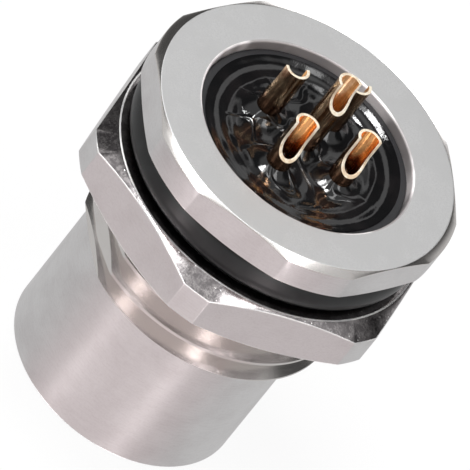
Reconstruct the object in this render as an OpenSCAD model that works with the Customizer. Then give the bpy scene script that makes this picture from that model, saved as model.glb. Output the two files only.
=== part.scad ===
// Five-way M12 female panel receptacle with solder cups, screwed into a panel by its M16 neck.
// The origin is the centre of the sleeve's rim, where the mating plug enters. +Z runs up the
// axis to the solder cups, and the keying flat on the neck faces -Y, as the coding slot does.

/* [Sleeve] */
// Outer diameter of the smooth sleeve at the mating end
sleeve_d = 13.95; // [13.4:0.05:14.1]
// Length of the smooth sleeve, up to the neck
sleeve_len = 9.1; // [8.9:0.1:11]
// Broken edge round the outside of the rim
rim_edge = 0.15; // [0.05:0.05:0.4]
// Nominal diameter of the mating thread inside the sleeve
mating_d = 12; // [11.8:0.05:12.3]
// Pitch of the mating thread
mating_pitch = 1; // [0.75:0.05:1.25]
// Depth of the mating bore, from the rim to the web
mating_depth = 8.6; // [7.6:0.1:9.6]
// Length of the undercut where the mating thread ends
undercut_len = 1.1; // [0.6:0.1:2]
// Thickness of the web that the carrier seats on
web_t = 2.4; // [1.6:0.1:3.2]

/* [Neck] */
// Crest diameter of the panel thread
thread_d = 16; // [15.8:0.05:16.4]
// Pitch of the panel thread
thread_pitch = 1.5; // [1.3:0.05:1.55]
// Length of the neck, from the sleeve to the flange
neck_len = 9.8; // [9:0.1:11]
// Plain length under the flange that the seal sits on
relief_len = 2.3; // [2.2:0.05:3]
// Length over which the panel thread runs out into the relief
runout_len = 0.5; // [0.3:0.05:1]
// Height of the chamfer that starts the panel thread
start_chamfer = 0.4; // [0.2:0.05:0.8]
// Depth of the keying flat, from the thread's crest
key_flat_depth = 0.82; // [0.5:0.02:0.9]

/* [Flange] */
// Width of the hexagonal flange across its flats
flange_af = 18.25; // [17.6:0.05:19]
// Diameter that the flange's corners are turned to
flange_corner_d = 19.15; // [18.8:0.05:20]
// Thickness of the flange
flange_t = 2.1; // [1.6:0.1:2.8]
// Height of the chamfers at the flange's corners
flange_chamfer = 0.25; // [0.1:0.05:0.5]
// Diameter at which those chamfers meet the flange's faces
flange_face_d = 18.1; // [17.6:0.05:18.6]
// Turn of the flange's hexagon from the keying flat
flange_turn = -3.8; // [-30:0.1:30]

/* [Rear bore] */
// Wall left between the rear bore and the root of the panel thread
neck_wall = 0.58; // [0.4:0.02:0.9]
// Broken edge at the mouth of the rear bore
bore_edge = 0.08; // [0.04:0.02:0.2]

/* [Panel nut] */
// Width of the panel nut across its flats
nut_af = 19; // [18.4:0.1:20.4]
// Diameter that the panel nut's corners are turned to
nut_corner_d = 21.05; // [20.6:0.05:22]
// Height of the panel nut
nut_t = 3.05; // [2.4:0.05:4]
// Diameter at which the panel nut's chamfers meet its faces
nut_face_d = 18.6; // [18:0.05:19]
// Height of the panel nut's chamfers at its corners
nut_chamfer = 0.55; // [0.3:0.05:0.8]
// Chamfer at both ends of the panel nut's bore
nut_countersink = 0.35; // [0.1:0.05:0.5]
// Turn of the panel nut's hexagon
nut_turn = -32.6; // [-60:0.1:60]

/* [Panel seal] */
// Thickness of the seal ring's round section
seal_section = 2.05; // [1.8:0.05:2.1]
// Gap left between the seal ring and the panel nut
seal_gap = 0.08; // [0.04:0.02:0.2]

/* [Contact carrier] */
// Diameter of the boss that the mating plug's shell slides over
boss_d = 8.35; // [8.1:0.05:8.6]
// Distance of the boss's end inside the sleeve's rim
boss_recess = 0.6; // [0.3:0.1:1.5]
// Broken edge at the end of the boss
boss_edge = 0.25; // [0.1:0.05:0.4]
// Thickness of the carrier's disc, behind the web
disc_t = 3; // [2.4:0.1:4]
// Wall of the cup that holds the potting
cup_wall = 0.42; // [0.3:0.02:0.6]
// Distance of the cup's rim below the rear face
cup_recess = 0.62; // [0.4:0.02:1.2]
// Width of the coding slot in the boss
code_slot_w = 1.2; // [0.9:0.05:1.5]
// Depth of the coding slot in the boss
code_slot_depth = 0.75; // [0.4:0.05:0.9]
// Diameter of the spigot that centres the carrier in the web
spigot_d = 9.4; // [9:0.1:10]
// Width of the key that stops the carrier turning in the web
lock_key_w = 1.4; // [1:0.1:2.2]
// Reach of that key beyond the spigot
lock_key_reach = 0.8; // [0.4:0.05:1]

/* [Potting] */
// Height of the potting at the cup's wall, below the cup's rim
potting_edge_drop = 0.05; // [0.02:0.01:0.2]
// Dip of the potting's surface away from the wall
potting_dip = 0.35; // [0.1:0.05:0.8]
// Radius of the fillet that the potting draws up round each contact
potting_fillet = 0.5; // [0.3:0.05:0.6]

/* [Contacts] */
// Diameter of the circle that the four outer contacts stand on
pitch_circle_d = 5.5; // [5.4:0.05:5.8]
// Diameter of the mating pin that a socket takes
pin_d = 1; // [0.9:0.02:1.1]
// Wall of the socket round the pin
socket_wall = 0.28; // [0.2:0.02:0.32]
// Depth of the socket
socket_depth = 6; // [4:0.1:7]
// Width of the slot that makes the socket springy
socket_slot_w = 0.25; // [0.15:0.05:0.35]
// Thickness of carrier left in front of the sockets
entry_t = 0.6; // [0.4:0.05:1]
// Diameter of the collar that holds a contact in the disc
collar_d = 2; // [1.9:0.02:2.1]
// Height of the collar
collar_h = 1.2; // [0.8:0.1:1.8]
// Depth of the collar's top in the rear of the disc
collar_inset = 0.8; // [0.3:0.1:1.1]
// Outer diameter of the shank and its solder cup
cup_d = 1.45; // [1.35:0.05:1.6]
// Wall of the solder cup
solder_wall = 0.17; // [0.12:0.01:0.2]
// Depth of the solder cup
cup_depth = 3.3; // [3.1:0.1:3.6]
// Height of the outer contacts above the rear face
outer_height = 2.9; // [2.6:0.1:3.6]
// Height of the centre contact above the rear face
centre_height = 4.75; // [4:0.05:5.4]
// Length of the scoop cut in an outer solder cup
scoop_len = 2.6; // [2.2:0.1:2.8]
// Length of the scoop cut in the centre solder cup
centre_scoop_len = 2; // [1.8:0.1:2.6]
// Radius of the cutter that ends the scoop
scoop_r = 1.7; // [1.3:0.1:2.4]
// Distance of the scoop's face past the contact's axis
scoop_offset = 0.08; // [0:0.02:0.2]

/* [Hidden] */
$fn = 96;

// Depths of ISO metric threads as shares of the pitch
OUTER_THREAD = 0.6134;
INNER_THREAD = 0.5413;
// Overlap of a cutter past the face that it opens
CUT = 1;
// Side clearance of the panel nut on the neck, and of the seal on its seat
nut_fit = 0.05;
seal_fit = 0.05;
// Side clearance of pieces pressed, slid or dropped into each other
press_fit = 0.01;
slide_fit = 0.06;
// Clearance of a mating pin in its socket, and of a socket's fingers in the carrier
pin_fit = 0.02;
finger_fit = 0.07;
// Lead of a hole's mouth past the pin that enters it
entry_lead = 0.15;
// Points along the potting's curved surface, and the power of its rise at the wall
MENISCUS_STEPS = 16;
MENISCUS_POWER = 6;

// Radii
sleeve_r = sleeve_d / 2;
thread_r = thread_d / 2;
core_r = thread_r - OUTER_THREAD * thread_pitch;
mating_r = mating_d / 2;
mating_minor_r = mating_r - INNER_THREAD * mating_pitch;
boss_r = boss_d / 2;
spigot_r = spigot_d / 2;
rear_bore_r = core_r - neck_wall;
disc_r = rear_bore_r - slide_fit;
cup_inner_r = disc_r - cup_wall;
cup_r = cup_d / 2;
socket_r = pin_d / 2 + pin_fit;
barrel_r = socket_r + socket_wall;
pitch_r = pitch_circle_d / 2;
seal_ring_r = core_r + seal_fit + seal_section / 2;

// Heights along the axis
seat_z = mating_depth + web_t;
flange_z = sleeve_len + neck_len;
face_z = flange_z + flange_t;
thread_end_z = flange_z - relief_len;
seal_z = flange_z - seal_section / 2;
nut_top_z = flange_z - seal_section - seal_gap;
disc_top_z = seat_z + disc_t;
cup_rim_z = face_z - cup_recess;
potting_rim_z = cup_rim_z - potting_edge_drop;
potting_z = potting_rim_z - potting_dip;
barrel_z = boss_recess + entry_t;
collar_z = disc_top_z - collar_inset - collar_h;

// A hexagonal bar of width af, turned to corner_d with a chamfer at both ends
module turned_hexagon(af, corner_d, height, face_d, chamfer) {
    intersection() {
        cylinder(d = af / cos(30), h = height, $fn = 6);
        rotate_extrude()
            polygon([[0, 0], [face_d / 2, 0], [corner_d / 2, chamfer],
                [corner_d / 2, height - chamfer], [face_d / 2, height], [0, height]]);
    }
}

// The turned outside of the sleeve and the neck, up into the flange
module sleeve_and_neck() {
    rotate_extrude()
        polygon([[0, 0], [sleeve_r - rim_edge, 0], [sleeve_r, rim_edge], [sleeve_r, sleeve_len],
            [core_r, sleeve_len], [thread_r, sleeve_len + start_chamfer],
            [thread_r, thread_end_z - runout_len], [core_r, thread_end_z],
            [core_r, flange_z + flange_t / 2], [0, flange_z + flange_t / 2]]);
}

// The mating bore with its lead-in and undercut, and the hole through the web
module mating_bore() {
    lead = mating_r - mating_minor_r + rim_edge;
    rotate_extrude()
        polygon([[0, -CUT], [mating_minor_r + lead, -CUT], [mating_minor_r + lead, 0],
            [mating_minor_r, lead], [mating_minor_r, mating_depth - undercut_len],
            [mating_r, mating_depth - undercut_len], [mating_r, mating_depth],
            [spigot_r + slide_fit, mating_depth], [spigot_r + slide_fit, seat_z + CUT],
            [0, seat_z + CUT]]);
}

// The rear bore, with the broken edge at its mouth
module rear_bore() {
    rotate_extrude()
        polygon([[0, seat_z], [rear_bore_r, seat_z], [rear_bore_r, face_z - bore_edge],
            [rear_bore_r + bore_edge, face_z], [rear_bore_r + bore_edge, face_z + CUT],
            [0, face_z + CUT]]);
}

// The bar of the lock key, or of its slot with a clearance round it, between two heights
module lock_bar(fit, from_z, to_z) {
    reach = spigot_r + lock_key_reach + fit;
    translate([-lock_key_w / 2 - fit, -reach, from_z])
        cube([lock_key_w + 2 * fit, reach, to_z - from_z]);
}

// What the keying flat takes off the neck, from the sleeve up to the relief
module key_flat_cut() {
    flat_y = thread_r - key_flat_depth;
    translate([-thread_r, -flat_y - thread_r, sleeve_len])
        cube([thread_d, thread_r, thread_end_z - sleeve_len]);
}

module housing() {
    color("silver")
        difference() {
            union() {
                sleeve_and_neck();
                translate([0, 0, flange_z]) rotate([0, 0, flange_turn])
                    turned_hexagon(flange_af, flange_corner_d, flange_t,
                        flange_face_d, flange_chamfer);
            }
            mating_bore();
            rear_bore();
            lock_bar(slide_fit, mating_depth - CUT, seat_z + CUT);
            key_flat_cut();
        }
}

// The nut's bore clears the thread's crests, and opens at both ends in a countersink
module panel_nut() {
    bore_r = thread_r + nut_fit;
    mouth_r = bore_r + nut_countersink;
    color("lightgray")
        translate([0, 0, nut_top_z - nut_t]) rotate([0, 0, nut_turn])
            difference() {
                turned_hexagon(nut_af, nut_corner_d, nut_t, nut_face_d, nut_chamfer);
                rotate_extrude()
                    polygon([[0, -CUT], [mouth_r, -CUT], [mouth_r, 0], [bore_r, nut_countersink],
                        [bore_r, nut_t - nut_countersink], [mouth_r, nut_t],
                        [mouth_r, nut_t + CUT], [0, nut_t + CUT]]);
            }
}

module panel_seal() {
    color("dimgray")
        translate([0, 0, seal_z - press_fit])
            rotate_extrude() translate([seal_ring_r, 0]) circle(d = seal_section);
}

// Places what is given at the centre of contact i, where 0 to 3 go round and 4 is the middle
module at_contact(i) {
    if (i < 4) rotate([0, 0, 45 + 90 * i]) translate([pitch_r, 0, 0]) children();
    else children();
}

// The stepped hole that a contact is pushed into from the rear, with its mouth at the boss's end
module contact_cavity() {
    entry_r = socket_r + entry_lead / 2;
    rotate_extrude()
        polygon([[0, boss_recess - CUT], [entry_r + entry_lead, boss_recess - CUT],
            [entry_r + entry_lead, boss_recess], [entry_r, boss_recess + entry_lead],
            [entry_r, barrel_z], [barrel_r + finger_fit, barrel_z],
            [barrel_r + finger_fit, collar_z], [collar_d / 2 + press_fit, collar_z],
            [collar_d / 2 + press_fit, disc_top_z + CUT], [0, disc_top_z + CUT]]);
}

module contact_carrier() {
    color([0.1, 0.1, 0.11])
        difference() {
            union() {
                rotate_extrude()
                    polygon([[0, boss_recess], [boss_r - boss_edge, boss_recess],
                        [boss_r, boss_recess + boss_edge], [boss_r, mating_depth],
                        [spigot_r, mating_depth], [spigot_r, seat_z], [disc_r, seat_z],
                        [disc_r, cup_rim_z], [cup_inner_r, cup_rim_z],
                        [cup_inner_r, disc_top_z], [0, disc_top_z]]);
                lock_bar(0, mating_depth, seat_z);
            }
            for (i = [0:4]) at_contact(i) contact_cavity();
            translate([-code_slot_w / 2, -boss_r - CUT, boss_recess - CUT])
                cube([code_slot_w, code_slot_depth + CUT, mating_depth - boss_recess + CUT]);
        }
}

// Height of the potting's surface at radius r, low in the middle and drawn up at the wall
function potting_height(r) = potting_z + potting_dip * pow(r / cup_inner_r, MENISCUS_POWER);

// The concave fillet of potting round one contact
module potting_rise() {
    translate([0, 0, potting_z])
        rotate_extrude() difference() {
            square([cup_r + potting_fillet, potting_fillet]);
            translate([cup_r + potting_fillet, potting_fillet]) circle(r = potting_fillet);
        }
}

module potting() {
    surface_points = [for (i = [0:MENISCUS_STEPS])
        let (r = cup_inner_r * (1 - i / MENISCUS_STEPS)) [r, potting_height(r)]];
    color([0.04, 0.04, 0.05])
        difference() {
            union() {
                rotate_extrude()
                    polygon(concat([[0, disc_top_z], [cup_inner_r, disc_top_z]], surface_points));
                for (i = [0:4]) at_contact(i) {
                    potting_rise();
                    translate([0, 0, collar_z + collar_h])
                        cylinder(d = collar_d, h = collar_inset);
                }
            }
            for (i = [0:4]) at_contact(i)
                translate([0, 0, collar_z]) cylinder(r = cup_r, h = face_z);
        }
}

// Everything that the scoop's cutter removes: a slot open to +X that ends in the cutter's round
module scoop_cut(top_z, length) {
    drop = sqrt(pow(scoop_r, 2) - pow(scoop_r - cup_r + scoop_offset, 2));
    translate([scoop_offset, -CUT, top_z - length + drop]) cube([2 * CUT, 2 * CUT, length]);
    translate([scoop_offset + scoop_r, CUT, top_z - length + drop]) rotate([90, 0, 0])
        cylinder(r = scoop_r, h = 2 * CUT);
}

// One turned contact: a slotted socket, a collar, and a shank that ends in a scooped solder cup
module contact(top_z, scoop_dir, length) {
    bore_r = cup_r - solder_wall;
    color("goldenrod")
        difference() {
            rotate_extrude()
                polygon([[0, barrel_z + pin_fit], [barrel_r, barrel_z + pin_fit],
                    [barrel_r, collar_z], [collar_d / 2, collar_z],
                    [collar_d / 2, collar_z + collar_h], [cup_r, collar_z + collar_h],
                    [cup_r, top_z], [0, top_z]]);
            cylinder(r = socket_r, h = barrel_z + pin_fit + socket_depth);
            translate([-barrel_r - CUT, -socket_slot_w / 2, barrel_z - CUT])
                cube([2 * (barrel_r + CUT), socket_slot_w, 2 / 3 * socket_depth + CUT]);
            translate([0, 0, top_z - cup_depth]) cylinder(r = bore_r, h = cup_depth + CUT);
            translate([0, 0, top_z - cup_depth - bore_r / 2])
                cylinder(r1 = 0, r2 = bore_r, h = bore_r / 2);
            rotate([0, 0, scoop_dir]) scoop_cut(top_z, length);
        }
}

// An outer contact, with its scoop facing scoop_dir in the part's own frame
module outer_contact(i, scoop_dir) {
    at_contact(i) contact(face_z + outer_height, scoop_dir - 45 - 90 * i, scoop_len);
}

housing();
panel_nut();
panel_seal();
contact_carrier();
potting();
outer_contact(0, 0);  // contact_1
outer_contact(1, 180);  // contact_2
outer_contact(2, 180);  // contact_3
outer_contact(3, 0);  // contact_4
contact(face_z + centre_height, 15, centre_scoop_len);  // contact_5
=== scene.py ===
"""Dresses the panel receptacle: plated housing and nut, seal ring, potting and solder cups.

Every size is in metres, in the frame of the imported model. +Z runs up the axis from the sleeve's
rim to the solder cups, and the keying flat on the neck faces -Y. Heights and outer sizes come
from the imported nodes; what a node's box can't give is a field of the class that builds it.
"""

from __future__ import annotations

import logging
import math
from dataclasses import dataclass, field
from enum import Enum
from typing import Callable, Mapping, Sequence

import bpy
from bpy.types import Material, NodeSocket, NodeTree, Object
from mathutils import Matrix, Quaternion, Vector


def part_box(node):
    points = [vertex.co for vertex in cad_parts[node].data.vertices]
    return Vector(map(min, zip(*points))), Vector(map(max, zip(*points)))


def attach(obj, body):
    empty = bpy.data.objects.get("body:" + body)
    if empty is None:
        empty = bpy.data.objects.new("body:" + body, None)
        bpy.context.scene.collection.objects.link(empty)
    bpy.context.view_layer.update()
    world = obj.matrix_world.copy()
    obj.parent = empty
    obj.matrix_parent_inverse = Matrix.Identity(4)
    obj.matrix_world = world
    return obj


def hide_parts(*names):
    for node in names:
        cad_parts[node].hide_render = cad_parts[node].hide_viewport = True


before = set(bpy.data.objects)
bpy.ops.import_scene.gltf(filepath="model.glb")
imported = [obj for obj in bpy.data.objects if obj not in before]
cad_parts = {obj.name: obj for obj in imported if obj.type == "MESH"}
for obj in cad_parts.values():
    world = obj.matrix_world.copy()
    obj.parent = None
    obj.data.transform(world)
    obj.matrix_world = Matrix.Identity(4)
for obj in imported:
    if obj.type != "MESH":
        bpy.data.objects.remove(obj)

log = logging.getLogger("receptacle")

MM = 0.001
SEGMENTS = 144
MERGE = 1e-6
FLANK = math.radians(30.0)  # between a thread's flank and the plane across its axis
SHAFT_GROOVE = 7 / 16  # half the groove's width at the crest, in pitches
BORE_GROOVE = 3 / 8

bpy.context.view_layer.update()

Point = tuple[float, float]
Colour = tuple[float, float, float]
Number = "float | Value"


def packed(node: str) -> object:
    """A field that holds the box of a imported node."""
    return field(default_factory=lambda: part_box(node))


def packed_top(node: str) -> object:
    """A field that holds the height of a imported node's top."""
    return field(default_factory=lambda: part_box(node)[1].z)


# Shader maths


class Value:
    """A node's output that joins numbers and other outputs in plain expressions."""

    def __init__(self, graph: Graph, socket: NodeSocket) -> None:
        """Wraps a socket of a graph."""
        self.graph = graph
        self.socket = socket

    def _math(self, operation: str, *others: Number, swapped: bool = False) -> Value:
        """Adds a Math node for this value and others.

        Args:
            operation: the Math node's operation.
            others: the other operands, numbers or values.
            swapped: whether this value is the second operand.

        Returns:
            The Math node's output.
        """
        operands = [self, *others]
        if swapped:
            operands.reverse()
        inputs = dict(enumerate(operands))
        return self.graph.node("ShaderNodeMath", {"operation": operation}, inputs)

    def __add__(self, other: Number) -> Value:
        """This value plus another."""
        return self._math("ADD", other)

    def __sub__(self, other: Number) -> Value:
        """This value less another."""
        return self._math("SUBTRACT", other)

    def __rsub__(self, other: Number) -> Value:
        """Another value less this one."""
        return self._math("SUBTRACT", other, swapped=True)

    def __mul__(self, other: Number) -> Value:
        """This value times another."""
        return self._math("MULTIPLY", other)

    __radd__ = __add__
    __rmul__ = __mul__

    def size(self) -> Value:
        """This value without its sign."""
        return self._math("ABSOLUTE")

    def dot(self, vector: Vector) -> Value:
        """How far this vector reaches along another."""
        settings = {"operation": "DOT_PRODUCT"}
        inputs = {0: self, 1: tuple(vector)}
        return self.graph.node("ShaderNodeVectorMath", settings, inputs, "Value")

    def arc(self, other: Number) -> Value:
        """The angle whose tangent is this value over another."""
        return self._math("ARCTAN2", other)

    def hypotenuse(self, other: Value) -> Value:
        """The length of the vector of this value and another."""
        return (self * self + other * other)._math("POWER", 0.5)

    def ramp(self, low: float, high: float) -> Value:
        """Rises smoothly from 0 to 1 as this value goes from low to high."""
        settings = {"interpolation_type": "SMOOTHSTEP", "clamp": True}
        return self.graph.node(
            "ShaderNodeMapRange", settings, {0: self, 1: low, 2: high, 3: 0.0, 4: 1.0}
        )


class Graph:
    """A tree of shader nodes."""

    def __init__(self, tree: NodeTree) -> None:
        """Wraps a node tree."""
        self.tree = tree

    def node(self, kind: str, settings: Mapping, inputs: Mapping, output: int | str = 0) -> Value:
        """Adds a node of any kind.

        Args:
            kind: the node's type.
            settings: its properties, set before its inputs.
            inputs: numbers, colours, vectors or values by socket name or number.
            output: the output socket to give back.

        Returns:
            The output socket as a value.
        """
        made = self.tree.nodes.new(kind)
        for name, setting in settings.items():
            setattr(made, name, setting)
        for name, given in inputs.items():
            self.feed(made.inputs[name], given)
        return Value(self, made.outputs[output])

    def feed(self, socket: NodeSocket, given: Number | Colour) -> None:
        """Links a value to a socket, or sets a constant on it."""
        if isinstance(given, Value):
            self.tree.links.new(given.socket, socket)
        else:
            socket.default_value = given

    def ray(self, kind: str) -> Value:
        """1 for rays of one kind and 0 for the rest."""
        return self.node("ShaderNodeLightPath", {}, {}, f"Is {kind} Ray")

    def vector(self, x: Number, y: Number, z: Number) -> Value:
        """A vector from three numbers or values."""
        return self.node("ShaderNodeCombineXYZ", {}, {0: x, 1: y, 2: z})

    def noise(self, where: Value, size: float, detail: float = 3.0, rough: float = 0.5) -> Value:
        """Smooth noise from 0 to 1, with spots of about that size in metres."""
        inputs = {"Vector": where, "Scale": 1.0 / size, "Detail": detail, "Roughness": rough}
        return self.node("ShaderNodeTexNoise", {"noise_dimensions": "3D"}, inputs)

    def cells(self, where: Value, size: float) -> Value:
        """Distance to the nearest of scattered points of about that spacing in metres."""
        return self.node("ShaderNodeTexVoronoi", {}, {"Vector": where, "Scale": 1.0 / size})

    def mix(self, mask: Number, low: Colour | Value, high: Colour | Value) -> Value:
        """A colour that goes from low to high as the mask goes from 0 to 1."""
        inputs = {0: mask, 6: opaque(low), 7: opaque(high)}
        return self.node("ShaderNodeMix", {"data_type": "RGBA"}, inputs, 2)

    def blend(self, mask: Number, low: Value, high: Value) -> Value:
        """A shader that goes from low to high as the mask goes from 0 to 1."""
        return self.node("ShaderNodeMixShader", {}, {0: mask, 1: low, 2: high})


class Shader(Graph):
    """One material's nodes, round a single Principled shader."""

    def __init__(self, name: str) -> None:
        """Starts a material of that name."""
        self.material = bpy.data.materials.new(name)
        self.material.use_nodes = True
        super().__init__(self.material.node_tree)
        self.surface = self.tree.nodes["Principled BSDF"]
        self.end = self.tree.nodes["Material Output"]

    def set(self, **sockets: Number | Colour) -> None:
        """Feeds the Principled shader's sockets, named with underscores for spaces."""
        for name, given in sockets.items():
            self.feed(self.surface.inputs[name.replace("_", " ")], given)

    def place(self) -> tuple[Value, Value, Value, Value]:
        """The Object coordinates of a point as a vector and as x, y and z."""
        where = self.node("ShaderNodeTexCoord", {}, {}, "Object")
        parts = self.tree.nodes.new("ShaderNodeSeparateXYZ")
        self.feed(parts.inputs[0], where)
        return (where, *(Value(self, socket) for socket in parts.outputs))

    def bump(self, height: Value, depth: float, strength: float = 1.0) -> Value:
        """A normal for a height of 0 to 1 that stands depth metres high."""
        return self.node(
            "ShaderNodeBump", {}, {"Height": height, "Distance": depth, "Strength": strength}
        )


def opaque(colour: Colour | Value) -> tuple | Value:
    """A colour with its alpha, or a value as it is."""
    return colour if isinstance(colour, Value) else (*colour, 1.0)


# Finishes


@dataclass(frozen=True)
class TurnedNickel:
    """Satin nickel plate over turned brass, with fine tool marks round the axis."""

    name: str = "turned_nickel"
    colour: Colour = (0.73, 0.72, 0.72)
    shade: Colour = (0.62, 0.60, 0.60)
    roughness: float = 0.34
    mark_size: float = 0.05 * MM
    mark_depth: float = 0.003 * MM
    mark_length: float = 0.6 * MM
    blotch_size: float = 2.2 * MM
    pit_size: float = 0.12 * MM

    def material(self) -> Material:
        """Builds the material."""
        shader = Shader(self.name)
        where, x, y, z = shader.place()
        radius = x.hypotenuse(y)
        turn = y.arc(x) * self.mark_length
        marks = shader.noise(shader.vector(radius, turn, z), self.mark_size, 4.0, 0.6)
        blotches = shader.noise(where, self.blotch_size, 3.0)
        pits = shader.noise(where, self.pit_size, 2.0)
        cover = blotches.ramp(0.35, 0.75) * 0.6 + (marks * 0.6 + pits * 0.4).ramp(0.4, 0.7) * 0.5
        shader.set(
            Base_Color=shader.mix(cover, self.colour, self.shade),
            Metallic=1.0,
            Roughness=self.roughness + (marks - 0.5) * 0.14 + (blotches - 0.5) * 0.08,
            Normal=shader.bump(marks * 0.75 + pits * 0.25, self.mark_depth),
        )
        return shader.material


@dataclass(frozen=True)
class FaceNickel:
    """Matte plated end face, faced on the lathe and tumbled."""

    name: str = "face_nickel"
    colour: Colour = (0.64, 0.64, 0.64)
    shade: Colour = (0.58, 0.58, 0.58)
    roughness: float = 0.56
    grain: float = 0.09 * MM
    patch: float = 2.6 * MM
    patch_tone: Colour = (0.6, 0.6, 0.6)
    metallic: float = 1.0
    ring_size: float = 0.08 * MM
    depth: float = 0.002 * MM

    def material(self) -> Material:
        """Builds the material."""
        shader = Shader(self.name)
        where, x, y, _ = shader.place()
        grain = shader.noise(where, self.grain, 3.0, 0.6)
        rings = shader.noise(shader.vector(x.hypotenuse(y), 0.0, 0.0), self.ring_size, 3.0)
        patches = shader.noise(where, self.patch, 2.0).ramp(0.44, 0.58)
        skin = shader.mix(grain.ramp(0.3, 0.8), self.colour, self.shade)
        shader.set(
            Base_Color=shader.mix(patches * 0.8, skin, self.patch_tone),
            Metallic=self.metallic,
            Roughness=self.roughness + (grain - 0.5) * 0.1,
            Normal=shader.bump(grain * 0.8 + rings * 0.2, self.depth),
        )
        return shader.material


@dataclass(frozen=True)
class RoughNickel:
    """Plate over a torn surface, dull, with painted glints: near-white pinpoints as painted
    highlights.
    """

    name: str = "rough_nickel"
    colour: Colour = (0.52, 0.49, 0.49)
    shade: Colour = (0.28, 0.26, 0.265)
    painted_glint: Colour = (1.0, 0.99, 0.98)
    roughness: float = 0.16
    lump: float = 0.5 * MM
    grain: float = 0.12 * MM
    painted_glint_gap: float = 0.3 * MM
    patch: float = 1.3 * MM
    depth: float = 0.006 * MM

    def material(self) -> Material:
        """Builds the material."""
        shader = Shader(self.name)
        where, *_ = shader.place()
        lumps = shader.noise(where, self.lump, 3.0, 0.6)
        grain = shader.noise(where, self.grain, 3.0, 0.6)
        patches = shader.noise(where, self.patch, 1.0)
        # Painted highlight: scattered near-white pinpoints stand in for glints of light on the rough
        # plate.
        painted_glints = (1.0 - shader.cells(where, self.painted_glint_gap).ramp(0.12, 0.2)) * patches.ramp(0.45, 0.6)
        skin = shader.mix((lumps * 0.6 + grain * 0.4).ramp(0.42, 0.6), self.shade, self.colour)
        shader.set(
            Base_Color=shader.mix(painted_glints, skin, self.painted_glint),
            Metallic=1.0,
            Roughness=self.roughness + (grain - 0.5) * 0.16,
            Normal=shader.bump(lumps * 0.5 + grain * 0.3 + painted_glints * 0.7, self.depth),
        )
        return shader.material


@dataclass(frozen=True)
class GoldPlate:
    """Gold plate on turned contacts, with drawn marks along the shank, darkened towards the potting
    as painted shade.
    """

    name: str = "gold_plate"
    # Darker and browner than bare gold: partly the plate's own tone, partly painted reflection of the
    # black potting.
    colour: Colour = (0.64, 0.45, 0.28)
    shade: Colour = (0.26, 0.14, 0.085)
    roughness: float = 0.2
    metallic: float = 1.0
    painted_shade_rise: float = 1.6 * MM
    streak_size: float = 0.16 * MM
    streak_depth: float = 0.006 * MM
    stain_size: float = 0.7 * MM
    base_z: float = packed_top("potting")

    def material(self) -> Material:
        """Builds the material."""
        shader = Shader(self.name)
        where, x, y, z = shader.place()
        streaks = shader.noise(shader.vector(x, y, z * 0.1), self.streak_size, 3.0)
        stain = shader.noise(where, self.stain_size, 3.0)
        # Painted shade: darker towards the potting, standing in for the black epoxy mirrored low on
        # each shank.
        low = 1.0 - z.ramp(self.base_z, self.base_z + self.painted_shade_rise)
        cover = stain * 0.5 + streaks * 0.5 + low * 0.4
        shader.set(
            Base_Color=shader.mix(cover.ramp(0.42, 0.64), self.colour, self.shade),
            Metallic=self.metallic,
            Roughness=self.roughness + (streaks - 0.5) * 0.2,
            Normal=shader.bump(streaks, self.streak_depth),
        )
        return shader.material


@dataclass(frozen=True)
class Rubber:
    """Moulded black seal rubber with a soft bloom."""

    name: str = "seal_rubber"
    colour: Colour = (0.004, 0.0045, 0.0048)
    bloom: Colour = (0.009, 0.0100, 0.0105)
    bloom_size: float = 1.1 * MM
    grain: float = 0.07 * MM
    depth: float = 0.003 * MM

    def material(self) -> Material:
        """Builds the material."""
        shader = Shader(self.name)
        where, *_ = shader.place()
        bloom = shader.noise(where, self.bloom_size, 4.0)
        grain = shader.noise(where, self.grain, 2.0)
        shader.set(
            Base_Color=shader.mix(bloom.ramp(0.4, 0.75), self.colour, self.bloom),
            Roughness=0.3 + (bloom - 0.5) * 0.14,
            Normal=shader.bump(grain, self.depth),
        )
        return shader.material


@dataclass(frozen=True)
class CarrierPlastic:
    """Black glass-filled moulding with a fine satin grain."""

    name: str = "carrier_plastic"
    colour: Colour = (0.018, 0.018, 0.02)
    fleck: Colour = (0.045, 0.045, 0.048)
    fleck_size: float = 0.1 * MM
    wave_size: float = 0.9 * MM
    depth: float = 0.01 * MM

    def material(self) -> Material:
        """Builds the material."""
        shader = Shader(self.name)
        where, *_ = shader.place()
        flecks = shader.noise(where, self.fleck_size, 4.0, 0.7)
        waves = shader.noise(where, self.wave_size, 2.0)
        shader.set(
            Base_Color=shader.mix(flecks.ramp(0.55, 0.8), self.colour, self.fleck),
            Roughness=0.34 + (waves - 0.5) * 0.2,
            Normal=shader.bump(flecks * 0.4 + waves * 0.6, self.depth),
        )
        return shader.material


@dataclass(frozen=True)
class CastEpoxy:
    """Glossy black potting with soft flow marks."""

    name: str = "cast_epoxy"
    colour: Colour = (0.003, 0.003, 0.0035)
    haze: Colour = (0.007, 0.006, 0.0065)
    fold_size: float = 1.9 * MM
    fold_reach: float = 5.2 * MM
    flow_size: float = 1.6 * MM
    dust_size: float = 0.1 * MM
    depth: float = 0.2 * MM

    def material(self) -> Material:
        """Builds the material."""
        shader = Shader(self.name)
        where, x, y, _ = shader.place()
        flow = shader.noise(where, self.flow_size, 2.0, 0.4)
        dust = shader.noise(where, self.dust_size, 2.0)
        folds = 1.0 - (shader.noise(where, self.fold_size, 0.0) - 0.5).size().ramp(0.0, 0.07)
        middle = 1.0 - x.hypotenuse(y).ramp(0.6 * self.fold_reach, self.fold_reach)
        shader.set(
            Base_Color=shader.mix(flow.ramp(0.4, 0.7), self.colour, self.haze),
            Roughness=0.07 + flow.ramp(0.5, 0.8) * 0.1,
            IOR=1.6,
            Normal=shader.bump(flow * 0.5 + folds * middle * 0.65 + dust * 0.03, self.depth, 0.6),
        )
        return shader.material


# Modelling moves


class Slope(Enum):
    """How a surface falls away round a point that was raised."""

    SWELL = "SMOOTH"
    COLLAR = "SHARP"


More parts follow.
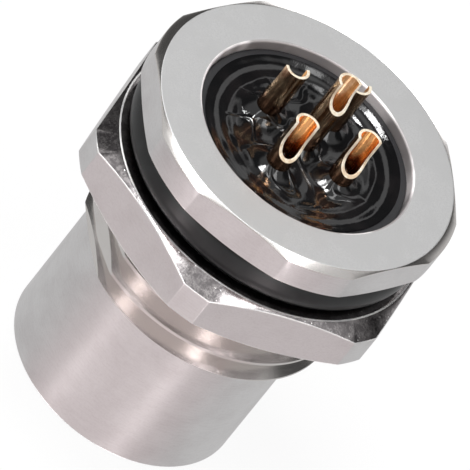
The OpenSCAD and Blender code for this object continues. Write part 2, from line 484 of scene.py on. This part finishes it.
class Bench:
    """Modelling moves, each made with Blender's own operators."""

    @staticmethod
    def pick(piece: Object) -> None:
        """Makes one object the only one selected, and the active one."""
        bpy.ops.object.select_all(action="DESELECT")
        piece.select_set(True)
        bpy.context.view_layer.objects.active = piece

    @staticmethod
    def line(name: str, points: Sequence[Point]) -> Object:
        """Draws a line of edges in the XZ plane.

        Args:
            name: the new object's name.
            points: radius and height of each point in turn.

        Returns:
            The new object, left in edit mode with everything selected.
        """
        bpy.ops.mesh.primitive_plane_add(size=MM, location=(points[0][0], 0.0, points[0][1]))
        piece = bpy.context.object
        piece.name = piece.data.name = name
        bpy.ops.object.transform_apply(location=True)
        bpy.ops.object.mode_set(mode="EDIT")
        bpy.ops.mesh.select_all(action="SELECT")
        bpy.ops.mesh.merge(type="CENTER")
        for (r0, z0), (r1, z1) in zip(points, points[1:]):
            step = {"value": (r1 - r0, 0.0, z1 - z0)}
            bpy.ops.mesh.extrude_region_move(TRANSFORM_OT_translate=step)
        Bench.merge()
        return piece

    @staticmethod
    def merge() -> None:
        """In edit mode, selects everything and merges doubles."""
        bpy.ops.mesh.select_all(action="SELECT")
        bpy.ops.mesh.remove_doubles(threshold=MERGE)

    @staticmethod
    def seal_up() -> None:
        """In edit mode, merges doubles and turns every face outwards."""
        Bench.merge()
        bpy.ops.mesh.normals_make_consistent(inside=False)
        bpy.ops.object.mode_set(mode="OBJECT")

    @classmethod
    def lathe(cls, name: str, points: Sequence[Point], steps: int = SEGMENTS) -> Object:
        """Turns a profile about the Z axis into a closed solid.

        Args:
            name: the new object's name.
            points: radius and height of each point; a profile that keeps off the axis is closed.
            steps: faces round the axis.

        Returns:
            The turned object.
        """
        closed = points[0][0] > MERGE
        piece = cls.line(name, [*points, points[0]] if closed else points)
        bpy.ops.mesh.spin(steps=steps, angle=math.tau, center=(0, 0, 0), axis=(0, 0, 1))
        cls.seal_up()
        return piece

    @classmethod
    def helix(cls, name: str, points: Sequence[Point], pitch: float, turns: int) -> Object:
        """Sweeps a closed section along a right-hand helix and closes its ends.

        Args:
            name: the new object's name.
            points: radius and height of each point of the section at the start.
            pitch: rise of a turn.
            turns: whole turns.

        Returns:
            The swept solid.
        """
        piece = cls.line(name, [*points, points[0]])
        bpy.ops.object.mode_set(mode="OBJECT")
        cls.modify(piece, "SCREW", screw_offset=pitch, iterations=turns, steps=SEGMENTS,
                   render_steps=SEGMENTS, use_smooth_shade=False)
        bpy.ops.object.mode_set(mode="EDIT")
        cls.merge()
        bpy.ops.mesh.select_all(action="SELECT")
        bpy.ops.mesh.fill_holes(sides=len(points))
        cls.seal_up()
        return piece

    @classmethod
    def modify(cls, piece: Object, kind: str, **settings: object) -> None:
        """Adds a modifier with those settings and applies it."""
        cls.pick(piece)
        bpy.ops.object.modifier_add(type=kind)
        modifier = piece.modifiers[-1]
        for name, setting in settings.items():
            setattr(modifier, name, setting)
        bpy.ops.object.modifier_apply(modifier=modifier.name)

    @classmethod
    def carve(cls, piece: Object, tool: Object) -> None:
        """Cuts a tool's form out of a piece and clears the tool away."""
        cls.modify(piece, "BOOLEAN", operation="DIFFERENCE", object=tool, solver="EXACT")
        bpy.data.objects.remove(tool, do_unlink=True)

    @classmethod
    def flats(cls, piece: Object, across: float, turn: float, count: int = 6) -> None:
        """Mills flats round the Z axis.

        Args:
            piece: the turned piece.
            across: width across opposite flats.
            turn: angle of the first flat's normal, in radians.
            count: number of flats.
        """
        cls.pick(piece)
        bpy.ops.object.mode_set(mode="EDIT")
        for k in range(count):
            angle = turn + math.tau * k / count
            normal = Vector((math.cos(angle), math.sin(angle), 0.0))
            bpy.ops.mesh.select_all(action="SELECT")
            bpy.ops.mesh.bisect(
                plane_co=normal * across / 2, plane_no=normal, threshold=MERGE,
                use_fill=True, clear_outer=True,
            )
        cls.seal_up()

    @classmethod
    def block(cls, name: str, low: Vector, high: Vector) -> Object:
        """A box between two corners, to cut with."""
        bpy.ops.mesh.primitive_cube_add(size=1.0, location=(low + high) / 2)
        tool = bpy.context.object
        tool.name = name
        tool.scale = high - low
        bpy.ops.object.transform_apply(location=True, scale=True)
        return tool

    @classmethod
    def rod(cls, name: str, radius: float, centre: Vector, length: float) -> Object:
        """A round bar along the Y axis, to cut with."""
        bpy.ops.mesh.primitive_cylinder_add(
            vertices=96, radius=radius, depth=length, location=centre, rotation=(math.pi / 2, 0, 0)
        )
        tool = bpy.context.object
        tool.name = name
        bpy.ops.object.transform_apply(location=True, rotation=True)
        return tool

    @classmethod
    def copy(cls, piece: Object, name: str, centre: Vector, turn: float) -> Object:
        """Copies a piece that stands on the Z axis, with its own mesh.

        Args:
            piece: the piece to copy.
            name: the copy's name.
            centre: a point on the copy's axis.
            turn: how far the copy is turned about its axis.

        Returns:
            The copy.
        """
        cls.pick(piece)
        bpy.ops.object.duplicate()
        placed = bpy.context.object
        placed.name = placed.data.name = name
        placed.location = (centre.x, centre.y, 0.0)
        placed.rotation_euler.z = turn
        bpy.ops.object.transform_apply(location=True, rotation=True)
        return placed

    @classmethod
    def round_edges(cls, piece: Object, width: float, angle: float = 25.0, rows: int = 2) -> None:
        """Rounds every edge sharper than an angle in degrees."""
        cls.modify(piece, "BEVEL", width=width, segments=rows, limit_method="ANGLE",
                   angle_limit=math.radians(angle), harden_normals=False, miter_outer="MITER_ARC")

    @classmethod
    def smooth(cls, piece: Object, angle: float = 30.0) -> None:
        """Shades faces smooth up to an angle in degrees, with large faces kept flat."""
        cls.pick(piece)
        bpy.ops.object.shade_smooth_by_angle(angle=math.radians(angle))
        cls.modify(piece, "WEIGHTED_NORMAL", keep_sharp=True)

    @classmethod
    def dress(cls, piece: Object, body: str, nodes: Sequence[str], slot: str,
              *materials: Material) -> None:
        """Gives a finished piece its materials and body, hides the CAD nodes it replaces, and reports
        it.
        """
        for material in materials:
            piece.data.materials.append(material)
        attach(piece, body)
        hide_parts(*nodes)
        log.info("%s: %d faces, replaces %s", piece.name, len(piece.data.polygons),
                 ", ".join(nodes))

    @staticmethod
    def paint(piece: Object, slot: int, chosen: Callable[[Vector, Vector], bool]) -> None:
        """Gives a material slot to the faces chosen by their centre and normal."""
        for face in piece.data.polygons:
            if chosen(face.center, face.normal):
                face.material_index = slot


# Pieces


@dataclass
class Thread:
    """An ISO metric thread, as the groove that a tool cuts along it."""

    crest_r: float
    root_r: float
    pitch: float
    start_z: float
    turns: int
    proud: float = 0.12 * MM

    def groove(self, name: str) -> Object:
        """The groove as a solid, with flanks at 30 degrees and a narrow root.

        Args:
            name: the tool's name.

        Returns:
            The tool, inwards from the crest outside a shaft and outwards inside a bore.
        """
        outward = 1.0 if self.crest_r > self.root_r else -1.0
        depth = abs(self.crest_r - self.root_r)
        crest_half = self.pitch * (SHAFT_GROOVE if outward > 0 else BORE_GROOVE)
        slope = math.tan(FLANK)
        root_half = crest_half - depth * slope
        mouth_half = crest_half + self.proud * slope
        mouth_r = self.crest_r + outward * self.proud
        section = [
            (self.root_r, self.start_z - root_half), (mouth_r, self.start_z - mouth_half),
            (mouth_r, self.start_z + mouth_half), (self.root_r, self.start_z + root_half),
        ]
        return Bench.helix(name, section, self.pitch, self.turns)


@dataclass
class Housing:
    """The one-piece turned shell: sleeve, threaded neck and hexagonal flange."""

    sleeve_r: float = 6.975 * MM
    sleeve_top: float = 9.1 * MM
    rim_edge: float = 0.15 * MM
    neck_r: float = 8.0 * MM
    core_r: float = 7.08 * MM
    neck_pitch: float = 1.5 * MM
    thread_end: float = 16.6 * MM
    runout: float = 0.5 * MM
    start_chamfer: float = 0.4 * MM
    key_flat: float = 7.18 * MM
    flange_t: float = 2.1 * MM
    flange_across: float = 18.25 * MM
    flange_face_r: float = 9.05 * MM
    flange_corner_r: float = 9.575 * MM
    flange_chamfer: float = 0.25 * MM
    flange_turn: float = math.radians(-33.8)
    bore_r: float = 6.5 * MM
    mouth_edge: float = 0.14 * MM
    mouth_round: float = 0.3
    edge_round: float = 0.035 * MM
    neck_start: tuple[float, int] = (8.7 * MM, 6)
    mating_start: tuple[float, int] = (-0.4 * MM, 8)
    root_gap: float = 0.005 * MM
    flat_overlap: float = 0.01 * MM
    face_depth: float = 0.03 * MM
    face_slope: float = 0.95
    wall_slope: float = 0.1
    mating_r: float = 6.0 * MM
    mating_minor_r: float = 5.4587 * MM
    mating_pitch: float = 1.0 * MM
    mating_depth: float = 8.6 * MM
    undercut: float = 1.1 * MM
    web_top: float = 11.0 * MM
    web_hole_r: float = 4.76 * MM
    face_z: float = packed_top("housing")

    def profile(self) -> list[Point]:
        """The turned section, up the outside and down through the bores."""
        flange_z = self.face_z - self.flange_t
        mouth = self.mouth_round * self.mouth_edge
        lead = self.mating_r - self.mating_minor_r + self.rim_edge
        return [
            (self.mating_minor_r + lead, 0.0), (self.sleeve_r - self.rim_edge, 0.0),
            (self.sleeve_r, self.rim_edge), (self.sleeve_r, self.sleeve_top),
            (self.core_r, self.sleeve_top), (self.neck_r, self.sleeve_top + self.start_chamfer),
            (self.neck_r, self.thread_end - self.runout), (self.core_r, self.thread_end),
            (self.core_r, flange_z), (self.flange_face_r, flange_z),
            (self.flange_corner_r, flange_z + self.flange_chamfer),
            (self.flange_corner_r, self.face_z - self.flange_chamfer),
            (self.flange_face_r, self.face_z), (self.bore_r + self.mouth_edge, self.face_z),
            (self.bore_r + mouth, self.face_z - mouth),
            (self.bore_r, self.face_z - self.mouth_edge), (self.bore_r, self.web_top),
            (self.web_hole_r, self.web_top),
            (self.web_hole_r, self.mating_depth), (self.mating_r, self.mating_depth),
            (self.mating_r, self.mating_depth - self.undercut),
            (self.mating_minor_r, self.mating_depth - self.undercut),
            (self.mating_minor_r, lead),
        ]

    def threads(self) -> list[Thread]:
        """The panel thread round the neck and the mating thread in the sleeve."""
        return [
            Thread(self.neck_r, self.core_r + self.root_gap, self.neck_pitch, *self.neck_start),
            Thread(self.mating_minor_r, self.mating_r - self.root_gap, self.mating_pitch,
                   *self.mating_start),
        ]

    def build(self, turned: Material, faced: Material, bright: Material,
              bore_with_painted_light: Material) -> None:
        """Turns, mills and threads the housing.

        Args:
            turned: the finish of the turned outside and the flats.
            faced: the finish of the rear face.
            bright: the finish of the neck, its thread and the flange's chamfers.
            bore_with_painted_light: the finish of the rear bore, near white with dark patches as
                painted light and shade.
        """
        shell = Bench.lathe("housing_shell", self.profile())
        Bench.flats(shell, self.flange_across, self.flange_turn)
        Bench.round_edges(shell, self.edge_round)
        for k, thread in enumerate(self.threads()):
            Bench.carve(shell, thread.groove(f"thread_tool_{k}"))
        reach = 2 * self.neck_r
        low = Vector((-reach, -reach, self.sleeve_top - self.flat_overlap))
        high = Vector((reach, -self.key_flat, self.thread_end))
        Bench.carve(shell, Bench.block("key_flat_tool", low, high))
        Bench.smooth(shell)
        Bench.dress(shell, "receptacle", ["housing"], "nickel", turned, faced, bright, bore_with_painted_light)
        Bench.paint(shell, 1, lambda centre, normal: centre.z > self.face_z - self.face_depth
                    and normal.z > self.face_slope)
        neck_top = self.face_z - self.flange_t
        Bench.paint(shell, 2, lambda centre, _: self.sleeve_top - MERGE < centre.z < neck_top
                    and centre.to_2d().length > self.bore_r)
        Bench.paint(shell, 2, lambda centre, normal: centre.z > neck_top
                    and self.wall_slope < abs(normal.z) < self.face_slope)
        # Slot 3, the rear bore, gets the near-white finish with dark patches: painted light and shade
        # on the wall.
        Bench.paint(shell, 3, lambda centre, normal: centre.z > self.web_top
                    and centre.to_2d().length < self.bore_r + self.mouth_edge
                    and normal.z < self.face_slope)


@dataclass
class PanelNut:
    """The hexagonal nut, chamfered at both ends, with a rough skin on its chamfers."""

    across: float = 19.0 * MM
    corner_r: float = 10.525 * MM
    face_r: float = 9.3 * MM
    chamfer: float = 0.55 * MM
    bore_r: float = 8.05 * MM
    countersink: float = 0.35 * MM
    turn: float = math.radians(-2.6)
    edge_round: float = 0.05 * MM
    edge_angle: float = 20.0
    wall_slope: float = 0.15
    chamfer_slope: float = 0.85
    end_slopes: tuple[float, float] = (0.93, 0.995)
    box: tuple[Vector, Vector] = packed("panel_nut")

    def profile(self) -> list[Point]:
        """The turned section of the nut."""
        low, high = self.box[0].z, self.box[1].z
        mouth_r = self.bore_r + self.countersink
        return [
            (mouth_r, low), (self.face_r, low), (self.corner_r, low + self.chamfer),
            (self.corner_r, high - self.chamfer), (self.face_r, high), (mouth_r, high),
            (self.bore_r, high - self.countersink), (self.bore_r, low + self.countersink),
        ]

    def build(self, turned: Material, rough: Material, edge: Material) -> None:
        """Turns and mills the nut, roughens its chamfers and paints highlights on their edges."""
        nut = Bench.lathe("hex_nut", self.profile())
        Bench.flats(nut, self.across, self.turn)
        Bench.round_edges(nut, self.edge_round, self.edge_angle)
        Bench.smooth(nut)
        Bench.dress(nut, "nut", ["panel_nut"], "nut_nickel", turned, rough, edge)
        rim_r = self.bore_r + self.countersink
        low_end, high_end = self.end_slopes
        Bench.paint(nut, 1, lambda centre, normal: self.chamfer_slope < abs(normal.z)
                    and centre.to_2d().length > rim_r)
        # Slot 2 paints the rounded edges near white: painted highlight lines.
        Bench.paint(nut, 2, lambda centre, normal: centre.to_2d().length > rim_r
                    and (self.wall_slope < abs(normal.z) < self.chamfer_slope
                         or low_end < abs(normal.z) < high_end))


@dataclass
class SealRing:
    """The moulded ring under the flange, with the flash line of its mould."""

    flash: float = 0.02 * MM
    points: int = 40
    box: tuple[Vector, Vector] = packed("panel_seal")

    def build(self, rubber: Material) -> None:
        """Spins a round section that stands a little proud along its parting line."""
        low, high = self.box
        section_r = (high.z - low.z) / 2
        ring_r = high.x - section_r
        section = []
        for k in range(self.points):
            angle = math.tau * k / self.points
            reach = section_r - (self.flash if k % (self.points // 2) else 0.0)
            section.append((ring_r + reach * math.cos(angle),
                            (low.z + high.z) / 2 + section_r * math.sin(angle)))
        ring = Bench.lathe("seal_ring", section)
        Bench.smooth(ring, 40.0)
        Bench.dress(ring, "receptacle", ["panel_seal"], "seal_rubber", rubber)


@dataclass
class Potting:
    """Epoxy cast round the contacts, drawn up at the wall and at each shank."""

    dip: float = 0.35 * MM
    power: float = 6.0
    rings: int = 84
    spokes: int = 240
    rise: float = 0.44 * MM
    reach: float = 1.15 * MM
    shank_r: float = 0.725 * MM
    ring_start: float = 3.9 * MM
    ring_gap: float = 0.95 * MM
    ring_height: float = 0.035 * MM
    ring_growth: float = 3.0
    ring_fade: int = 6
    swell_reach: float = 1.3 * MM
    swells: tuple[tuple[float, float, float], ...] = (
        (-3.6 * MM, -1.2 * MM, 0.1 * MM), (-1.3 * MM, -3.9 * MM, -0.09 * MM),
        (1.6 * MM, -4.2 * MM, 0.1 * MM), (4.2 * MM, -1.0 * MM, -0.08 * MM),
        (-3.9 * MM, 2.1 * MM, -0.09 * MM), (0.4 * MM, 3.9 * MM, 0.09 * MM),
        (3.4 * MM, 3.0 * MM, 0.08 * MM), (-1.5 * MM, 0.3 * MM, -0.1 * MM),
    )
    box: tuple[Vector, Vector] = packed("potting")
    floor_z: float = 14.0 * MM

    def height(self, radius: float) -> float:
        """Height of the surface at a distance from the axis, with its rings near the wall."""
        edge = self.box[1].x
        calm = self.box[1].z - self.dip * (1.0 - (radius / edge) ** self.power)
        if radius < self.ring_start:
            return calm
        share = (radius - self.ring_start) / (edge - self.ring_start)
        swing = math.sin(math.tau * (radius - self.ring_start) / self.ring_gap)
        return calm + self.ring_height * swing * min(1.0, self.ring_growth * share) * (
            1.0 - share ** self.ring_fade)

    def build(self, epoxy: Material, contacts: Sequence[Vector]) -> None:
        """Casts the potting and draws it up round the contacts.

        Args:
            epoxy: the finish.
            contacts: a point on each contact's axis.
        """
        edge = self.box[1].x
        surface = [(edge * k / self.rings, self.height(edge * k / self.rings))
                   for k in range(self.rings, -1, -1)]
        cast = Bench.lathe("potting_cast", [(0.0, self.floor_z), (edge, self.floor_z), *surface],
                           self.spokes)
        for x, y, lift in self.swells:
            self.lift(cast, Vector((x, y)), lift, self.swell_reach, Slope.SWELL)
        foot = self.shank_r + self.reach
        for centre in contacts:
            peak = self.rise / (self.reach / foot) ** 2
            self.lift(cast, centre.to_2d(), peak, foot, Slope.COLLAR)
        Bench.smooth(cast, 60.0)
        Bench.dress(cast, "receptacle", ["potting"], "epoxy", epoxy)

    def lift(self, cast: Object, centre: Vector, rise: float, reach: float,
             slope: Slope) -> None:
        """Raises one point of the surface, and draws its surroundings along.

        Args:
            cast: the potting.
            centre: where the point is.
            rise: how far it goes up.
            reach: how far round it the surface follows.
            slope: how the surface falls away.
        """
        Bench.pick(cast)
        bpy.ops.object.mode_set(mode="EDIT")
        bpy.ops.mesh.select_all(action="DESELECT")
        bpy.ops.object.mode_set(mode="OBJECT")
        top = [vertex for vertex in cast.data.vertices if vertex.co.z > self.floor_z + MM]
        nearest = min(top, key=lambda vertex: (vertex.co.to_2d() - centre).length)
        nearest.select = True
        bpy.ops.object.mode_set(mode="EDIT")
        bpy.ops.transform.translate(
            value=(0.0, 0.0, rise), use_proportional_edit=True,
            proportional_edit_falloff=slope.value, proportional_size=reach,
        )
        bpy.ops.object.mode_set(mode="OBJECT")


@dataclass
class Contact:
    """A kind of turned contact: slotted socket, collar, shank and scooped solder cup."""

    node: str
    scoop_length: float
    shank_r: float = 0.725 * MM
    cup_wall: float = 0.17 * MM
    cup_depth: float = 3.3 * MM
    scoop_r: float = 1.7 * MM
    scoop_offset: float = 0.08 * MM
    socket_r: float = 0.52 * MM
    barrel_r: float = 0.80 * MM
    collar_z: float = 12.0 * MM
    collar_h: float = 1.2 * MM
    socket_depth: float = 6.0 * MM
    slot_w: float = 0.25 * MM
    rim_edge: float = 0.04 * MM
    steps: int = 64
    soft_angle: float = 35.0
    slot_share: float = 2 / 3
    inner_share: float = 0.8
    inner_depth: float = 1.2
    rim_share: float = 1.6
    rim_below: float = 0.25 * MM
    rim_slope: float = 0.97

    def __post_init__(self) -> None:
        """Finds the contact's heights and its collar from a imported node."""
        self.low, self.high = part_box(self.node)
        self.collar_r = (self.high.x - self.low.x) / 2

    def profile(self) -> list[Point]:
        """The turned section, from the axis in the socket to the axis in the cup."""
        low, top = self.low.z, self.high.z
        bore_r = self.shank_r - self.cup_wall
        floor = top - self.cup_depth
        return [
            (0.0, low + self.socket_depth), (self.socket_r, low + self.socket_depth),
            (self.socket_r, low), (self.barrel_r, low), (self.barrel_r, self.collar_z),
            (self.collar_r, self.collar_z), (self.collar_r, self.collar_z + self.collar_h),
            (self.shank_r, self.collar_z + self.collar_h), (self.shank_r, top), (bore_r, top),
            (bore_r, floor), (0.0, floor - bore_r / 2),
        ]

    def model(self) -> Object:
        """Turns one contact on the Z axis, slots its socket and scoops its cup."""
        pin = Bench.lathe("contact_model", self.profile(), self.steps)
        wide = 2 * self.barrel_r
        Bench.carve(pin, Bench.block(
            "slot_tool", Vector((-wide, -self.slot_w / 2, self.low.z - MM)),
            Vector((wide, self.slot_w / 2, self.low.z + self.slot_share * self.socket_depth))))
        self.scoop(pin)
        Bench.round_edges(pin, self.rim_edge, self.soft_angle)
        Bench.smooth(pin, self.soft_angle)
        return pin

    def build(self, places: Mapping[str, float], gold: Material, inner_gold: Material,
              rim_highlight_gold: Material) -> None:
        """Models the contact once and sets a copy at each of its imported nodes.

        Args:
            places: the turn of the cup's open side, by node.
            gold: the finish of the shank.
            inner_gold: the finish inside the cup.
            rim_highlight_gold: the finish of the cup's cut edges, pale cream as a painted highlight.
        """
        pin = self.model()
        Bench.paint(pin, 1, self.is_inner)
        # Slot 2 paints the cut edges pale cream: painted highlight.
        Bench.paint(pin, 2, self.is_rim)
        for node, turn in places.items():
            low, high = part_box(node)
            placed = Bench.copy(pin, f"{node}_pin", (low + high) / 2, turn)
            Bench.dress(placed, "receptacle", [node], "gold", gold, inner_gold, rim_highlight_gold)
        bpy.data.objects.remove(pin, do_unlink=True)

    def is_inner(self, centre: Vector, _: Vector) -> bool:
        """Whether a face lies inside the cup."""
        wall_r = self.shank_r - self.inner_share * self.cup_wall
        floor = self.high.z - self.inner_depth * self.cup_depth
        return centre.z > floor and centre.to_2d().length < wall_r

    def is_rim(self, centre: Vector, normal: Vector) -> bool:
        """Whether a face is part of the cup's cut edge."""
        outward = centre.to_2d()
        across = abs(outward.normalized().dot(normal.to_2d()))
        return (centre.z > self.high.z - self.scoop_length - self.rim_below
                and across < self.rim_slope
                and outward.length > self.shank_r - self.rim_share * self.cup_wall)

    def scoop(self, pin: Object) -> None:
        """Mills the side of the cup away, down to the round of the cutter."""
        inward = self.scoop_r - self.shank_r + self.scoop_offset
        drop = math.sqrt(self.scoop_r ** 2 - inward ** 2)
        end_z = self.high.z - self.scoop_length + drop
        Bench.carve(pin, Bench.block("scoop_tool", Vector((self.scoop_offset, -MM, end_z)),
                                     Vector((4 * MM, MM, self.high.z + MM))))
        Bench.carve(pin, Bench.rod("cutter_tool", self.scoop_r,
                                   Vector((self.scoop_offset + self.scoop_r, 0.0, end_z)),
                                   2 * MM))


@dataclass
class Carrier:
    """The moulded insert, shown as it was made, in its own finish."""

    node: str = "contact_carrier"

    def build(self, plastic: Material) -> None:
        """Dresses the carrier's own mesh."""
        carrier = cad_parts[self.node]
        carrier.data.materials.clear()
        carrier.data.materials.append(plastic)
        log.info("%s: %d faces, dressed", carrier.name, len(carrier.data.polygons))


# Studio


def direction(azimuth: float, elevation: float) -> Vector:
    """A unit vector from an azimuth, from +X towards +Y, and an elevation, in degrees."""
    turn, tilt = math.radians(azimuth), math.radians(elevation)
    return Vector((math.cos(turn) * math.cos(tilt), math.sin(turn) * math.cos(tilt),
                   math.sin(tilt)))


@dataclass
class Studio:
    """Pale floor, light tent with strips and dark flags, one soft lamp and a long-lens camera."""

    azimuth: float = 54.2
    elevation: float = 39.8
    roll: float = 38.7154
    lens: float = 995.415
    distance: float = 0.71
    aim: Vector = field(default_factory=lambda: Vector((0.0, 0.0, 12.0 * MM)))
    shift_right: float = 0.2392 * MM
    shift_up: float = 0.2653 * MM
    lamp_place: tuple[float, float] = (-150.0, 72.0)
    lamp_size: tuple[float, float] = (0.22, 0.06)
    lamp_power: float = 1.3
    lamp_distance: float = 0.5
    pale: float = 0.66
    strips: tuple[float, float] = (-53.0, -15.5)
    strip_half: float = 0.02
    strip_edge: float = 0.03
    strip_gain: tuple[float, float] = (0.9, 2.9)
    strip_flare: float = 0.04
    steep: tuple[float, float] = (0.2, 0.33)
    flags: tuple[tuple[float, float, float, float], ...] = (
        (152.0, 36.0, 0.7, 0.83), (84.0, 30.0, 0.935, 0.98),
    )
    flag_depth: float = 0.9
    warm: tuple[float, float] = (-30.0, -30.0)
    warm_tint: Colour = (1.0, 0.905, 0.91)
    warm_lift: float = 0.18
    warm_fade: tuple[float, float] = (0.3, 0.65)
    lift_fade: tuple[float, float] = (0.72, 0.95)
    floor_glow: float = 0.9
    floor_gap: float = 0.02 * MM
    floor_size: float = 6.0
    floor_colour: Colour = (0.86, 0.86, 0.86)

    def back(self) -> Vector:
        """The direction from the object to the camera."""
        return direction(self.azimuth - 90.0, self.elevation)

    def camera(self) -> None:
        """Stands the camera where it looks down the axis at a slant, rolled to one side."""
        back = self.back()
        turn = math.radians(self.azimuth)
        right = Vector((math.cos(turn), math.sin(turn), 0.0))
        up = back.cross(right)
        data = bpy.data.cameras.new("camera")
        data.lens = self.lens
        data.clip_start, data.clip_end = 0.05, 10.0
        camera = bpy.data.objects.new("camera", data)
        bpy.context.collection.objects.link(camera)
        camera.location = (self.aim + right * self.shift_right + up * self.shift_up
                           + back * self.distance)
        camera.rotation_mode = "QUATERNION"
        camera.rotation_quaternion = (Quaternion(back, math.radians(self.roll))
                                      @ (-back).to_track_quat("-Z", "Y"))
        bpy.context.scene.camera = camera

    def lamp(self) -> None:
        """Hangs the white lamp, turned to the object."""
        towards = direction(*self.lamp_place)
        data = bpy.data.lights.new("top_lamp", "AREA")
        data.shape = "RECTANGLE"
        data.size, data.size_y = self.lamp_size
        data.energy = self.lamp_power
        lamp = bpy.data.objects.new("top_lamp", data)
        bpy.context.collection.objects.link(lamp)
        lamp.location = self.aim + towards * self.lamp_distance
        lamp.rotation_mode = "QUATERNION"
        lamp.rotation_quaternion = (-towards).to_track_quat("-Z", "Y")
        lamp.visible_camera = False

    def strip(self, graph: Graph, where: Value, side: float, steep: Value) -> Value:
        """A tall upright strip of light, which walls facing one way mirror to the camera.

        Args:
            graph: the world's nodes.
            where: direction into the world.
            side: azimuth of the walls that mirror it.
            steep: a mask that is 1 where the strip flares.

        Returns:
            A mask that is 1 in the strip.
        """
        turn = math.radians(side)
        across = Vector((-math.sin(turn), math.cos(turn), 0.0))
        offset = (where.dot(across) + self.back().dot(across)).size() - steep * self.strip_flare
        return 1.0 - offset.ramp(self.strip_half, self.strip_half + self.strip_edge)

    def world(self) -> None:
        """Shows white to the camera, and a pale tent with strips and dark flags to the rest."""
        world = bpy.data.worlds.new("studio")
        bpy.context.scene.world = world
        world.use_nodes = True
        graph = Graph(world.node_tree)
        where = graph.node("ShaderNodeTexCoord", {}, {}, "Generated")
        steep = (where.dot(Vector((0.0, 0.0, 1.0))) + self.back().z).size().ramp(*self.steep)
        strips = sum(self.strip(graph, where, side, steep) for side in self.strips)
        flags = sum(where.dot(direction(azimuth, elevation)).ramp(low, high)
                    for azimuth, elevation, low, high in self.flags)
        towards_warm = where.dot(direction(*self.warm))
        warm = towards_warm.ramp(*self.warm_fade)
        low_gain, high_gain = self.strip_gain
        pale = self.pale + towards_warm.ramp(*self.lift_fade) * self.warm_lift
        level = (pale + strips * (low_gain + steep * high_gain)) * (1.0 - flags * self.flag_depth)
        tent = graph.node("ShaderNodeBackground", {}, {
            "Color": graph.mix(warm, (1.0, 1.0, 1.0), self.warm_tint), "Strength": level})
        white = graph.node("ShaderNodeBackground", {}, {"Color": (1.0, 1.0, 1.0, 1.0)})
        camera_ray = graph.ray("Camera")
        through_ray = graph.ray("Transmission")
        shown = graph.blend(camera_ray + through_ray, tent, white)
        graph.feed(world.node_tree.nodes["World Output"].inputs[0], shown)

    def floor(self) -> None:
        """Lays the white floor, which keeps a faint shadow; metal and views from below miss it."""
        bpy.ops.mesh.primitive_plane_add(size=self.floor_size, location=(0, 0, -self.floor_gap))
        floor = bpy.context.object
        floor.name = "floor"
        shader = Shader("floor_paper")
        shader.set(Base_Color=opaque(self.floor_colour), Roughness=0.9, Specular_IOR_Level=0.0)
        paper = Value(shader, shader.surface.outputs[0])
        glow = shader.node("ShaderNodeEmission", {}, {"Strength": 1.0})
        clear = shader.node("ShaderNodeBsdfTransparent", {}, {})
        camera_ray = shader.ray("Camera")
        glossy_ray = shader.ray("Glossy")
        underside = shader.node("ShaderNodeNewGeometry", {}, {}, "Backfacing")
        shown = shader.blend(camera_ray * self.floor_glow, paper, glow)
        shown = shader.blend(underside * camera_ray, shown, clear)
        shader.feed(shader.end.inputs[0], shader.blend(glossy_ray, shown, clear))
        floor.data.materials.append(shader.material)

    def build(self) -> None:
        """Sets up the whole studio."""
        bpy.context.scene.view_settings.view_transform = "Standard"
        self.world()
        self.floor()
        self.lamp()
        self.camera()
        log.info("studio: camera %.0f mm, %.2f m away", self.lens, self.distance)


def main() -> None:
    """Builds every piece in order and reports it."""
    logging.basicConfig(level=logging.INFO, format="%(name)s: %(message)s")
    turned = TurnedNickel().material()
    bright = TurnedNickel("bright_nickel", (0.70, 0.675, 0.655), (0.66, 0.63, 0.61), roughness=0.2,
                          mark_size=0.12 * MM, mark_depth=0.0004 * MM)
    # Painted light and shade: near-white bore wall, with large dark patches standing in for its
    # shaded parts.
    bore = FaceNickel("bore_painted_light_nickel", (1.0, 0.96, 0.96), (0.96, 0.92, 0.92), roughness=0.58,
                      patch=3.1 * MM, patch_tone=(0.3, 0.28, 0.28), metallic=0.55)
    # Painted highlight: a near-white finish for the nut's rounded edges.
    edge = FaceNickel("edge_highlight_nickel", (1.0, 0.99, 0.98), (0.8, 0.79, 0.78), roughness=0.5,
                      patch_tone=(0.6, 0.6, 0.6))
    Housing().build(turned, FaceNickel().material(), bright.material(), bore.material())
    PanelNut().build(turned, RoughNickel().material(), edge.material())
    SealRing().build(Rubber().material())
    Carrier().build(CarrierPlastic().material())
    gold = GoldPlate().material()
    inner_gold = GoldPlate("inner_gold", (0.92, 0.48, 0.19), (0.33, 0.12, 0.04), 0.26).material()
    # Painted highlight: pale cream, partly non-metal cut edges that look lit.
    rim_highlight_gold = GoldPlate("rim_highlight_gold", (1.0, 0.92, 0.76), (0.76, 0.6, 0.42), 0.4, 0.45).material()
    tan_gold = GoldPlate("tan_gold", (0.86, 0.62, 0.38), (0.55, 0.32, 0.16), 0.3).material()
    outer = {"contact_1": 0.0, "contact_2": math.pi, "contact_3": math.pi, "contact_4": 0.0}
    middle = {"contact_5": math.radians(15.0)}
    Contact("contact_1", 2.6 * MM).build(outer, gold, inner_gold, rim_highlight_gold)
    Contact("contact_5", 2.0 * MM).build(middle, gold, tan_gold, rim_highlight_gold)
    centres = [sum(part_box(node), Vector()) / 2 for node in (*outer, *middle)]
    Potting().build(CastEpoxy().material(), centres)
    Studio().build()


if __name__ == "__main__":
    main()
